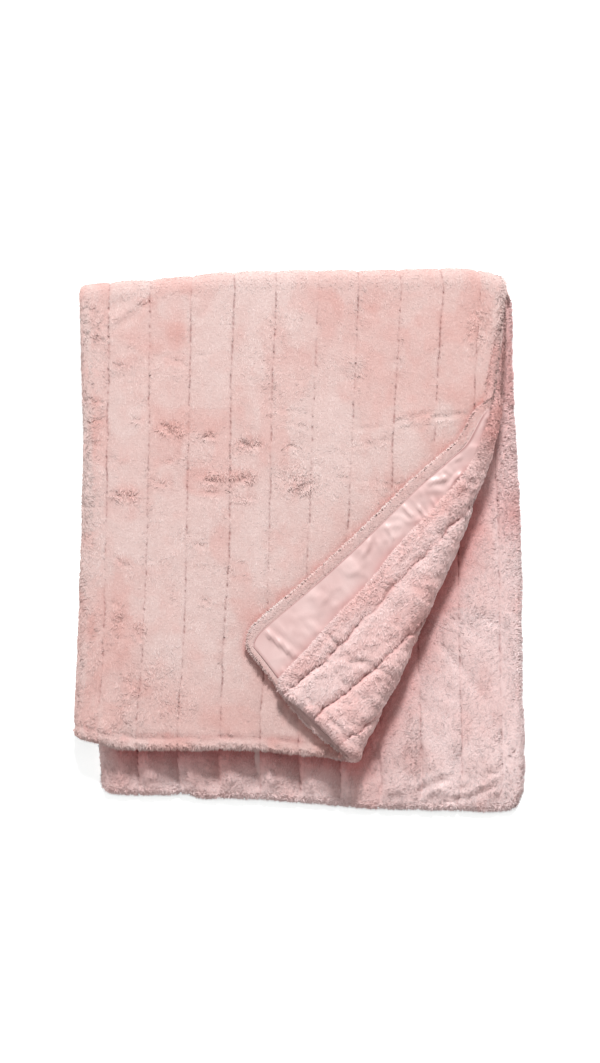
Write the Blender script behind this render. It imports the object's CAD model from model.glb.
import math
import bpy
import numpy as np
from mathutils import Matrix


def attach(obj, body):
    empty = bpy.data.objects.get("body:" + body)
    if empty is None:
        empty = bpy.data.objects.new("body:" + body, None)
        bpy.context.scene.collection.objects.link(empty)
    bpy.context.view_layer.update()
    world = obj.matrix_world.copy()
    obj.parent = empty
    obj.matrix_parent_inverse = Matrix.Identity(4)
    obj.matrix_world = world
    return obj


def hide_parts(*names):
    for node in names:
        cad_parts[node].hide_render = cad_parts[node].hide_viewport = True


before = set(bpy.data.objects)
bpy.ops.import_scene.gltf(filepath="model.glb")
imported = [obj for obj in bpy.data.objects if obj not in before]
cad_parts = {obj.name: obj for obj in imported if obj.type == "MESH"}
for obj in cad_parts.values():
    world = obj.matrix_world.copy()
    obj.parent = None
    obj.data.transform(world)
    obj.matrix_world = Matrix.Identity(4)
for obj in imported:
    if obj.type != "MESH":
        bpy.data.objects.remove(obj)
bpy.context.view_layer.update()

rng = np.random.default_rng(20641)

# =====================================================================================================================
# The folded cloth. The same sizes and tables as the solids, in mm, x to the right, y to the top fold, z up.
# c counts sewn channels across the cloth: 0 hem of the outer half, 1-10 its seams, 11-12 the left fold,
# 13-22 the seams of the inner half, 23 its hem.
# =====================================================================================================================
FUR, LINING, PLY_GAP, LAP_GAP, NAP_GAP, TURN_GAP = 9.0, 1.0, 0.3, 2.2, 1.0, 1.5
ROLL, END_ROLL, SAG = 10.4, 1.65, 0.0045
H_IN = NAP_GAP / 2 + FUR + PLY_GAP / 2
H_OUT = H_IN + PLY_GAP + 2 * LINING + LAP_GAP
H_TOP = H_OUT + PLY_GAP / 2 + FUR
H_LEFT, R_LEFT = (H_IN + H_OUT) / 2, (H_OUT - H_IN) / 2
H_TURN = H_TOP + TURN_GAP / 2
LEFT_WIDE = R_LEFT + PLY_GAP / 2 + FUR
SHIFT = np.array([-0.243, -0.129, -0.15])
FRONT_END, BACK_END, TOP_LEVEL = -310.0, -372.0, 376.0


def line(*rows):
    """A smooth line through (at, value) rows, level past its ends."""
    a = np.array(rows, float)
    k, v = a[:, 0], a[:, 1]
    s = np.empty(len(k))
    s[1:-1] = (v[2:] - v[:-2]) / (k[2:] - k[:-2])
    s[0], s[-1] = (v[1] - v[0]) / (k[1] - k[0]), (v[-1] - v[-2]) / (k[-1] - k[-2])
    return k, v, s


def along(tab, at):
    k, v, s = tab
    at = np.clip(np.asarray(at, float), k[0], k[-1])
    i = np.clip(np.searchsorted(k, at, side="right") - 1, 0, len(k) - 2)
    run = k[i + 1] - k[i]
    t = (at - k[i]) / run
    t2, t3 = t * t, t * t * t
    return (2 * t3 - 3 * t2 + 1) * v[i] + (t3 - 2 * t2 + t) * run * s[i] + (3 * t2 - 2 * t3) * v[i + 1] + (t3 - t2) * run * s[i + 1]


TOP_EDGE = line((-327, 376.5), (-281, 382), (-220.5, 385.5), (-161.5, 390.5), (-109.5, 396), (-35.5, 399), (90.5, 399),
                (171.5, 401), (238.5, 402), (282.5, 396), (309.5, 384))
LEFT_FRONT = line((-294, -330), (-282, -333), (-237.5, -332), (-178.5, -328.5), (-60, -324), (103, -319.5), (236, -321),
                  (376.5, -325.5))
LEFT_BACK = line((-363.5, -293), (-319, -296.5), (-237.5, -299), (-89.5, -305), (58.5, -311.5), (206.5, -318),
                 (376.5, -325.5))
HEM_OUT_FRONT = line((-345.5, 303.5), (-338, 312.5), (-325, 322), (-310, 325.5), (-217, 328.5), (-51, 333), (17, 333),
                     (82, 325.5), (120.5, 319.5), (151.5, 319), (176, 316.5), (192, 309), (206, 300), (220, 294),
                     (236, 292.5), (265.5, 294), (310, 296.5), (354.5, 302), (376.5, 306.5))
HEM_IN_FRONT = line((-350, 244), (-341, 251.5), (-329.5, 254.5), (-285, 260.5), (-218.5, 271), (-140, 279.5),
                    (-74.5, 290), (24.5, 294), (95.5, 296), (137, 303.5), (191.5, 303.5), (214, 299), (295.5, 302),
                    (354.5, 304), (376.5, 305))
HEM_OUT_BACK = line((-363.5, 316.5), (-326.5, 322.5), (-163.5, 321), (58.5, 315), (206.5, 309.5), (373.5, 308))
HEM_IN_BACK = line((-394.5, 325.5), (-370.5, 332.5), (-237.5, 331.5), (-163.5, 329.5), (-0.5, 328), (73.5, 325),
                   (140, 319.5), (199, 316.5), (280.5, 315), (354.5, 314.5), (373.5, 309.5))
END_OUT_FRONT = line((-333, -285), (-321, -294), (-297.5, -299.5), (-265, -308), (-220.5, -309.5), (-72.5, -310),
                     (1.5, -316), (38.5, -319), (68, -322.5), (126, -337.5), (179, -345.5), (235.5, -343.5),
                     (282.5, -342), (325.5, -344))
END_IN_FRONT = line((-333, -280.5), (-321, -289.5), (-297.5, -295.5), (-265, -303.5), (-146.5, -305.5),
                    (-72.5, -305.5), (1.5, -311.5), (68, -325), (126, -332.5), (163, -335), (183.5, -337.5),
                    (211.5, -344), (238.5, -351.5))
END_OUT_BACK = line((-293, -362), (-277, -364), (100, -365), (322, -361))
END_IN_BACK = line((-293, -369.5), (-277, -376), (-205.5, -378), (-161.5, -376.5), (-146.5, -382), (-63.5, -384),
                   (1.5, -389), (60.5, -394.5), (134.5, -399), (208.5, -400.5), (275.5, -402.5), (322.5, -397.5),
                   (331.5, -388.5))
TURN_LINE = line((-363.5, 44.5), (-296.5, 76.5), (-237.5, 105), (-178.5, 133), (-119, 160.5), (-60, 186.5),
                 (-0.5, 212), (58.5, 235.5), (88, 246.5), (117.5, 257), (147.5, 265.5), (177, 271.5), (206.5, 275.5),
                 (236, 278.5), (265.5, 283), (295.5, 288.5), (325, 296), (354.5, 306), (376.5, 313))
SEAM_HEIGHTS = (-274.5, -163.5, 14, 206.5, 369.5)
SEAMS_OUT = [line(*zip(SEAM_HEIGHTS, at)) for at in (
    (256, 263.5, 262, 260, 268), (186.5, 194, 197, 203, 213.5), (120, 127.5, 134, 142.5, 151),
    (57.5, 65, 72, 81.5, 89), (-1.5, 6.5, 14.5, 22, 29.5), (-57.5, -49, -43.5, -40, -33.5),
    (-116, -112, -102.5, -101.5, -94.5), (-180, -171, -166, -162, -159), (-240.5, -232, -224.5, -221.5, -220.5),
    (-297.5, -289.5, -285.5, -282.5, -281))]
SEAMS_IN = [line(*zip(SEAM_HEIGHTS, at)) for at in ((177.5, 183, 202.5, 211, 217), (234, 247.5, 260.5, 274, 281))]
BACK_SEAMS = dict(first_in=0.0898, pitch_in=0.0957, first_out=0.075, pitch_out=0.095)


def smooth(t):
    s = np.clip(t, 0, 1)
    return s * s * (3 - 2 * s)


def pick(stops_c, stops_x, c):
    """Linear between stops; stops_x has one row of values for each stop."""
    sc = np.asarray(stops_c, float)
    i = np.clip(np.searchsorted(sc, c, side="right") - 1, 0, len(sc) - 2)
    n = np.arange(len(c))
    t = (c - sc[i]) / (sc[i + 1] - sc[i])
    return stops_x[i, n] * (1 - t) + stops_x[i + 1, n] * t


def front_x(c, y):
    fold = along(LEFT_FRONT, y) + LEFT_WIDE
    out = np.stack([along(HEM_OUT_FRONT, y)] + [along(s, y) for s in SEAMS_OUT] + [fold])
    inn = np.stack([fold] + [along(s, y) for s in SEAMS_IN] + [along(HEM_IN_FRONT, y)])
    x = np.where(c <= 11, pick(range(12), out, np.clip(c, 0, 11)), pick((12, 21, 22, 23), inn, np.clip(c, 12, 23)))
    return np.where((c >= 11) & (c <= 12), fold, x)


def back_x(c, y):
    left = along(LEFT_BACK, y)
    fold = left + LEFT_WIDE
    b = BACK_SEAMS
    hem = along(HEM_OUT_BACK, y)
    out = np.stack([hem] + [left + (hem - left) * (b["first_out"] + b["pitch_out"] * (10 - k)) for k in range(1, 11)] + [fold])
    hem = along(HEM_IN_BACK, y)
    inn = np.stack([fold] + [left + (hem - left) * (b["first_in"] + b["pitch_in"] * k) for k in range(10)] + [hem])
    x = np.where(c <= 11, pick(range(12), out, np.clip(c, 0, 11)), pick(range(12, 24), inn, np.clip(c, 12, 23)))
    return np.where((c >= 11) & (c <= 12), fold, x)


def top_heart(x):
    return along(TOP_EDGE, x) - H_TOP


class Row:
    """One line across the cloth: part 'front', 'top' or 'back'."""

    def __init__(self, part, level=None, frm=None, turn=0.0):
        self.part, self.turn, self.frm = part, turn, frm
        if frm is not None:
            level = (FRONT_END if part == "front" else BACK_END) + frm
        self.level = level
        # running length along the cloth, for the pile's noise
        arc = 40.0
        self.v = level if part == "front" else TOP_LEVEL + arc * turn if part == "top" else 2 * TOP_LEVEL + arc - level

    def y(self, c, x):
        if self.part == "top":
            return top_heart(x)
        m = np.clip(c - 11, 0, 1)
        front = self.part == "front"
        start = FRONT_END if front else BACK_END
        a, b = (END_OUT_FRONT, END_IN_FRONT) if front else (END_OUT_BACK, END_IN_BACK)
        end = along(a, x) * (1 - m) + along(b, x) * m - start
        low = np.clip(1 - (self.level - start - 40) / 120, 0, 1)
        high = np.clip(1 - (TOP_LEVEL - self.level) / 90, 0, 1)
        return self.level + end * low + (top_heart(x) - TOP_LEVEL) * high

    def plan(self, c):
        x = np.zeros_like(c)
        y = np.full_like(c, TOP_LEVEL) if self.part == "top" else self.y(c, x)
        for _ in range(6):
            if self.part == "front":
                x = front_x(c, y)
            elif self.part == "back":
                x = back_x(c, y)
            else:
                x = front_x(c, y) * (1 - self.turn) + back_x(c, y) * self.turn
            y = self.y(c, x)
        return x, y

    def corner(self, c):
        """Where this row meets the line that the corner is turned round, with that line's directions."""
        m = np.where(c < 11.5, 5.0, 15.0)
        x = np.full_like(c, 200.0)
        y = self.y(m, x)
        for _ in range(8):
            x = along(TURN_LINE, y)
            y = self.y(m, x)
        slope = (along(TURN_LINE, y + 3) - along(TURN_LINE, y - 3)) / 6
        size = np.hypot(slope, 1)
        return x, y, np.stack([-slope / size, -1 / size]), np.stack([1 / size, -slope / size])


def crown(c):
    s = np.where((c >= 10) & (c <= 12), (c - 10) / 2, c - np.floor(c))
    return 4 * s * (1 - s)


# ---------------------------------------------------------------- noise on the cloth, seeded
class Noise:
    """Smooth repeating value noise on a square lattice, sampled anywhere."""

    def __init__(self, seed, size=256):
        self.g = np.random.default_rng(seed).uniform(-1, 1, (size, size))
        self.n = size

    def __call__(self, u, v):
        iu, iv = np.floor(u).astype(int), np.floor(v).astype(int)
        fu, fv = u - iu, v - iv
        fu, fv = fu * fu * (3 - 2 * fu), fv * fv * (3 - 2 * fv)
        n, g = self.n, self.g
        a, b = g[iu % n, iv % n], g[(iu + 1) % n, iv % n]
        c, d = g[iu % n, (iv + 1) % n], g[(iu + 1) % n, (iv + 1) % n]
        return (a * (1 - fu) + b * fu) * (1 - fv) + (c * (1 - fu) + d * fu) * fv


N = [Noise(300 + k) for k in range(12)]


def seam_gap(lay):
    """Distance in mm to the nearest channel seam, and which seam it is."""
    c, back = lay.cc, lay.part[:, None] == 2
    k = np.clip(np.round(c), 1, 22)
    k = np.where((c > 10) & (c < 11.5), 10, np.where((c >= 11.5) & (c < 13), 13, k))
    # channel widths beside the hems and the left fold differ
    pitch = np.where(back, 59.5, 61.0)
    pitch = np.where((c < 1), np.where(back, 47.0, 62.0), pitch)
    pitch = np.where((c > 22), np.where(back, 29.0, 34.0), pitch)
    pitch = np.where((c > 10) & (c < 11), np.where(back, 44.0, 24.0), pitch)
    pitch = np.where((c > 12) & (c < 13), np.where(back, 52.0, 28.0), pitch)
    gap = np.abs(c - k) * pitch
    fold = (c >= 11) & (c <= 12)
    gap = np.where(fold, 24.0 + 20 * np.minimum(c - 11, 12 - c), gap)
    return gap, k


class Lay:
    """Everything about a grid of rows and channel counts that does not depend on the pile."""

    def __init__(self, rows, c):
        n, m = len(rows), len(c)
        self.rows, self.c = rows, c
        self.x, self.y, self.d = np.zeros((n, m)), np.zeros((n, m)), np.full((n, m), -1e3)
        self.t, self.cx, self.cy = np.zeros((n, m)), np.zeros((n, m)), np.zeros((n, m))
        self.run, self.out = np.zeros((n, m, 2)), np.zeros((n, m, 2))
        self.part = np.array([{"front": 0, "top": 1, "back": 2}[r.part] for r in rows])
        self.turn = np.array([r.turn for r in rows])
        for i, r in enumerate(rows):
            self.x[i], self.y[i] = r.plan(c)
            if r.part == "front":
                cx, cy, run, out = r.corner(c)
                dx, dy = self.x[i] - cx, self.y[i] - cy
                d = dx * out[0] + dy * out[1]
                d = np.where((c >= 11) & (c <= 12), -1e3, d)
                self.d[i], self.t[i] = d, dx * run[0] + dy * run[1]
                self.cx[i], self.cy[i], self.run[i], self.out[i] = cx, cy, run.T, out.T
        self.v = np.repeat(np.array([r.v for r in rows])[:, None], m, 1)
        self.cc = np.repeat(c[None], n, 0)
        self.m = np.clip(self.cc - 11, 0, 1)
        back = self.part[:, None] == 2
        # distance to the nearest hem, in mm, as far as it matters
        hem_out = np.where(back, along(HEM_OUT_BACK, self.y), along(HEM_OUT_FRONT, self.y)) - self.x
        hem_in = np.where(back, along(HEM_IN_BACK, self.y), along(HEM_IN_FRONT, self.y)) - self.x
        side = np.where(self.cc < 11, hem_out, np.where(self.cc > 12, hem_in, 1e3))
        end = np.full((n, m), 1e3)
        for i, r in enumerate(rows):
            if r.part != "top":
                a, b = (END_OUT_FRONT, END_IN_FRONT) if r.part == "front" else (END_OUT_BACK, END_IN_BACK)
                mm = self.m[i]
                end[i] = self.y[i] - (along(a, self.x[i]) * (1 - mm) + along(b, self.x[i]) * mm)
        self.side_edge, self.end_edge = np.abs(side), np.abs(end)
        q = 16.0  # the two hems meet in a soft corner

        def nearest(a, b):
            return np.where((a < q) & (b < q), np.maximum(0, q - np.hypot(q - a, q - b)), np.minimum(a, b))
        self.edge = nearest(self.side_edge, self.end_edge)
        self.seam_edge = nearest(self.side_edge, self.end_edge * END_ROLL)  # the lower hem's roll is narrower inside
        # the seams are sewn by hand: they wander by a millimetre
        self.gap, k = seam_gap(self)
        wander = 1.1 * N[0](k * 7.3 + 40, self.v / 26) + 0.7 * N[1](k * 3.1, self.v / 9)
        corner = np.where((self.part[:, None] == 0) & (self.cc > 12) & (self.d > -8), 1.0, 0.0)
        wander = wander + corner * (3.0 * N[2](k * 5.7 + 11, self.v / 30) + 2.4 * N[4](k * 2.9, self.v / 11))
        wander = np.where(self.edge > 14, wander * np.exp(-(self.gap / 9) ** 2), 0)
        self.x += wander
        self.d += wander * self.out[..., 0]
        self.t += wander * self.run[..., 0]
        self.beat = np.repeat(np.where(np.arange(n) % 2 == 0, 1.0, -1.0)[:, None], m, 1)
        flat = np.where(back & (self.m < 0.5), 0.3, 1.0)
        self.x += flat * (1.2 * N[6](self.v / 21, k) + 0.9 * N[7](self.v / 8, k)) * np.exp(-self.side_edge / 18)
        self.y += flat * (1.2 * N[6](self.cc * 60 / 21, 0.5) + 0.9 * N[7](self.cc * 60 / 8, 3.5)) * np.exp(-self.end_edge / 18)

    def place(self, off):
        """Positions at distances off from the fur and lining joint, towards the pile."""
        c, part = self.cc, self.part[:, None]
        h = np.where(c < 11, H_OUT + off, H_IN - off)
        x, y = self.x.copy(), self.y.copy()
        fold = (c >= 11) & (c <= 12)
        a = np.pi * (c - 11)
        r = R_LEFT + off
        h = np.where(fold, H_LEFT + r * np.cos(a), h)
        x = np.where(fold, x - r * np.sin(a), x)
        mid = H_TURN - np.where(c < 11.5, H_OUT, H_IN)
        over = (self.d > 0) & (part == 0)
        ang = np.clip(self.d / mid, 0, np.pi)
        rr = H_TURN - h
        nn = np.where(self.d < np.pi * mid, rr * np.sin(ang), np.pi * mid - self.d)
        x = np.where(over, self.cx + self.out[..., 0] * nn + self.run[..., 0] * self.t, x)
        y = np.where(over, self.cy + self.out[..., 1] * nn + self.run[..., 1] * self.t, y)
        h = np.where(over, H_TURN - rr * np.cos(ang), h)
        beyond = np.maximum(x - along(HEM_OUT_BACK, y), along(END_OUT_BACK, x) - y)
        full = H_TOP - H_IN - PLY_GAP / 2 - LINING - PLY_GAP
        # each channel of the inner half settles a little more towards its right seam
        lean = np.where(c > 12, 56 * (c - np.floor(c) - 0.5) * (1 + 0.5 * N[5](np.floor(c) * 3.3, 2.5)), 0)
        lean = lean * smooth((-300 - y) / 30) * smooth((300 - x) / 60)
        # it sinks slowly over the layer below and comes down at its own hem
        saw = c - np.floor(c)
        saw = np.where(saw < 0.16, 1 - saw / 0.16, (saw - 0.16) / 0.84) - 0.45
        saw = np.where(c > 12, saw * (0.8 + 0.5 * N[5](np.floor(c) * 2.7, 9.5)), 0)
        saw = saw * smooth((-292 - y) / 22) * smooth((270 - x) / 70) * smooth(self.edge / 26 - 0.15)
        drop = 9.5 * saw + full * (0.52 * smooth((beyond + 92 + lean) / 112) + 0.48 * smooth(1 - self.edge / 30) * smooth((beyond + 30) / 25))
        stand = np.maximum(0, along(LEFT_BACK, y) + LEFT_WIDE - x)
        sag = SAG * stand * stand * smooth((350 - y) / 120)
        turn = np.pi * self.turn[:, None]
        low = (H_TOP - h) * np.clip(1 - 1.18 * np.maximum(drop, 0) / full, 0.03, 1)  # the lowest layer is squeezed where the one above comes down
        low = low * (1 - smooth(self.m)) + (H_TOP - h - drop) * smooth(self.m)
        z = np.where(part == 0, H_TOP + h - sag, np.where(part == 1, H_TOP + h * np.cos(turn), low))
        y = np.where(part == 1, y + h * np.sin(turn), y)
        return np.stack([x, y, z], -1) + SHIFT


# ---------------------------------------------------------------- pile height over the cloth
# short tucks pressed into the front layer: x0, y0, x1, y1, depth, width (a raised fold where the depth is negative)
TUCKS = np.array([
    (-246, 178, -232, 176, 2.0, 2.6), (-206, 171, -188, 158, 1.8, 3.0), (-188, 158, -176, 168, 1.8, 2.6),
    (-142, 153, -123, 156, 1.6, 2.6), (-87, 146, -73, 138, 1.8, 3.0), (-73, 138, -55, 141, 1.5, 2.8),
    (-19, 137, -1, 138, 1.2, 3.0), (-265, 118, -247, 121, 0.9, 2.0), (-206, 116, -186, 116, 1.8, 2.2),
    (-277, 72, -259, 63, 2.0, 3.0), (-259, 63, -238, 66, 1.6, 3.0), (-218, 90, -194, 81, 1.4, 2.6),
    (-141, 87, -117, 88, 2.0, 2.8), (-93, 88, -70, 94, 2.2, 3.0), (-16, 97, -4, 85, 1.4, 3.0),
    (1, 73, 16, 85, 1.2, 3.0), (-149, 69, -120, 70, 0.9, 2.4), (-96, 61, -58, 64, 0.9, 2.6),
    (-281, 317, -221, 366, -1.3, 7.0), (-277, 310, -218, 354, 0.7, 5.0), (-216, 271, -191, 270, 1.2, 2.6),
    (-191, 270, -164, 256, 1.4, 2.6), (-152, 272, -129, 275, 1.2, 2.6), (-158, 313, -123, 366, 0.9, 5.0),
    (-123, 366, -104, 378, 1.0, 5.0), (-278, 258, -250, 258, 1.0, 2.6), (-262, 242, -244, 243, 0.8, 2.4),
    (-321, 295, -303, 314, 1.5, 3.0), (-326, 354, -300, 334, 1.3, 3.5), (-303, 334, -283, 310, 1.2, 3.0),
    (-321, 209, -286, 204, 1.3, 3.0), (-318, 171, -286, 180, 1.3, 3.0), (-318, 147, -289, 138, 1.0, 3.0),
    (-321, 58, -306, 47, 1.2, 3.0), (-275, -23, -262, -35, 1.5, 2.8), (-262, -35, -247, -38, 1.3, 2.8),
    (-158, -5, -139, -10, 1.2, 2.6), (-147, -87, -130, -95, 1.4, 2.6), (-253, 39, -221, 39, 0.8, 2.0),
    (-216, 35, -189, 35, 0.8, 2.0), (-38, 196, 18, 186, 0.9, 2.2), (28, 97, 108, 87, 0.9, 2.0),
    (108, 87, 194, 76, 0.8, 2.0), (-34, 178, 16, 165, 0.8, 2.5), (83, 137, 138, 150, 1.0, 3.0),
    (75, 162, 138, 171, 0.8, 2.4), (141, 175, 200, 190, 1.4, 3.0), (194, 181, 250, 187, 1.8, 3.0),
    (135, 162, 209, 171, 0.7, 2.6), (-275, -95, -253, -101, 1.0, 3.0), (-277, -122, -256, -119, 1.0, 3.0),
    (-274, -143, -250, -149, 0.9, 3.0), (-241, -131, -232, -149, 1.6, 3.0),
])
# where the pile is ruffled up: x, y, half width, half height, how much
RUFFLES = np.array([
    (-239, 175, 10, 6, 0.6), (-189, 165, 21, 13, 1), (-133, 155, 13, 7, 0.7), (-73, 143, 21, 12, 1),
    (-9, 138, 16, 6, 0.5), (-256, 118, 12, 4, 0.4), (-195, 116, 10, 4, 0.5), (-256, 67, 25, 12, 1),
    (-206, 85, 15, 9, 0.7), (-129, 92, 18, 10, 0.8), (-80, 94, 19, 12, 0.9), (1, 82, 21, 16, 0.9),
    (-133, 69, 18, 6, 0.5), (-77, 61, 21, 9, 0.5), (-268, -115, 12, 27, 0.6), (-138, -91, 12, 9, 0.5),
    (-235, -135, 9, 18, 0.8), (-229, 357, 12, 10, 0.9), (-306, 328, 18, 24, 0.6), (-306, 301, 21, 12, 0.7),
    (-263, 258, 15, 6, 0.5), (-13, 91, 27, 24, 0.5), (271, 316, 18, 44, 0.5), (-306, 204, 21, 7, 0.6),
    (-306, 174, 21, 9, 0.6), (-306, 147, 18, 12, 0.5), (-312, 88, 15, 18, 0.5), (-262, -30, 15, 9, 0.5),
    (-149, -8, 12, 6, 0.4), (111, 147, 30, 10, 0.35), (169, 183, 30, 9, 0.5), (-10, 172, 27, 9, 0.3),
    (144, 85, 56, 12, 0.25), (-221, -223, 59, 44, 0.35), (-265, -267, 59, 33, 0.4), (-306, -178, 18, 89, 0.35),
])
# the back layer's ripples and the wrinkles in its corner
BACK_RIPPLES = np.array([
    (176, -377, 193, -367, 1.8, 4.0), (193, -367, 225, -354, 1.8, 4.0), (276, -351, 300, -346, 2.2, 3.2),
    (213, -390, 252, -386, 2.0, 4.5), (252, -386, 300, -366, 2.0, 5.0), (305, -332, 327, -313, 2.2, 2.6),
    (237, -371, 250, -368, 1.6, 3.0), (226, -118, 243, -127, 1.6, 4.0), (243, -127, 280, -150, 1.2, 6.0),
    (206, -150, 232, -180, 1.3, 6.0), (228, -180, 250, -196, 1.7, 5.0), (250, -205, 276, -236, 1.6, 8.0),
    (196, -215, 240, -236, 1.1, 6.0), (186, -246, 226, -262, 1.0, 5.0), (270, -115, 302, -125, 1.4, 5.0),
    (310, -160, 318, -172, 1.4, 3.0), (216, -104, 224, -112, 1.2, 4.0), (180, -240, 196, -262, 1.0, 4.0),
    (318, -88, 332, -90, 1.2, 2.6), (285, -206, 296, -216, 0.9, 4.0), (302, 206, 320, 190, 2.4, 3.0),
])
BACK_RUFFLES = np.array([
    (330, -350, 8, 22, 0.6), (318, -386, 20, 10, 0.5), (252, -224, 26, 16, 0.5), (290, -130, 24, 14, 0.35),
    (182, -150, 14, 40, 0.3), (296, -40, 8, 60, 0.35), (246, -118, 16, 14, 0.35), (312, 120, 14, 130, 1.7),
])
# lumps of the corner that lies turned over, with their place in plan
CORNER_FOLDS = np.array([
    (30, -130, 66, -160, 2.2, 4.0), (66, -160, 44, -186, 1.4, 5.0), (86, -176, 130, -196, 1.6, 5.0),
    (96, -205, 116, -190, 1.5, 4.0), (64, -172, 96, -186, 1.4, 5.0), (0, -206, 24, -186, 1.6, 4.5),
    (110, -160, 150, -140, 1.0, 5.0), (140, -20, 168, -2, 0.9, 4.0), (236, 60, 262, 90, 1.0, 4.0),
    (206, 94, 240, 100, 0.9, 4.0), (60, -246, 92, -226, 1.2, 5.0), (180, -60, 214, -52, 0.9, 5.0),
])


def pressed(table, x, y):
    """Short soft troughs that fade out at both ends."""
    total = np.zeros_like(x)
    for x0, y0, x1, y1, deep, wide in table:
        far = 5 * wide
        near = (x > min(x0, x1) - far) & (x < max(x0, x1) + far) & (y > min(y0, y1) - far) & (y < max(y0, y1) + far)
        if not near.any():
            continue
        px, py = x[near], y[near]
        dx, dy = x1 - x0, y1 - y0
        size = math.hypot(dx, dy)
        t = ((px - x0) * dx + (py - y0) * dy) / size ** 2
        side = ((py - y0) * dx - (px - x0) * dy) / size + 1.8 * N[7](px / 11, py / 11)
        fade = smooth((t + 0.12) / 0.35) * smooth((1.12 - t) / 0.35)
        gap = side / wide
        total[near] += deep * fade * (np.exp(-gap * gap) - 0.28 * np.exp(-((np.abs(gap) - 1.8) ** 2) * 1.5))
    return total


def ruffled(table, x, y):
    total = np.zeros_like(x)
    for cx, cy, rx, ry, much in table:
        d2 = ((x - cx) / rx) ** 2 + ((y - cy) / ry) ** 2
        total = np.maximum(total, much * np.exp(-d2 ** 1.5 * 0.8))
    return total


def coarseness(lay, x, y):
    """0 where the pile lies smooth and 1 where it stands ruffled."""
    part = lay.part[:, None]
    c, u, v = lay.cc, lay.cc * 60.0, lay.v
    front_out = (part == 0) & (c < 11)
    rough = np.where(front_out, 0.10 + ruffled(RUFFLES, x, y), 0.0)
    blot = smooth((N[2](u / 33, v / 42) - 0.15) / 0.4)
    rough = np.where(front_out, rough + 0.22 * blot, rough)
    near_seam = np.exp(-(lay.gap / 4.0) ** 2) * smooth((N[4](u / 50, v / 50) + 0.2) / 0.5)
    rough = np.where(front_out, rough + 0.35 * near_seam, rough)
    rough = np.where((part == 0) & (c > 12), 0.60 + 0.15 * blot + 0.3 * near_seam, rough)
    rough = np.where((c >= 11) & (c <= 12), 0.65, rough)
    rough = np.where((part == 0) & (c > 10) & (c < 11), np.maximum(rough, 0.40), rough)
    rough = np.where(part == 1, 0.35, rough)
    rough = np.where((part == 2) & (c > 12), 0.46 + 0.25 * blot + 0.5 * ruffled(BACK_RUFFLES, x, y), rough)
    rough = np.maximum(rough, 0.95 * np.exp(-(lay.edge / 9) ** 2))
    return np.clip(rough, 0, 1.25)


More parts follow.
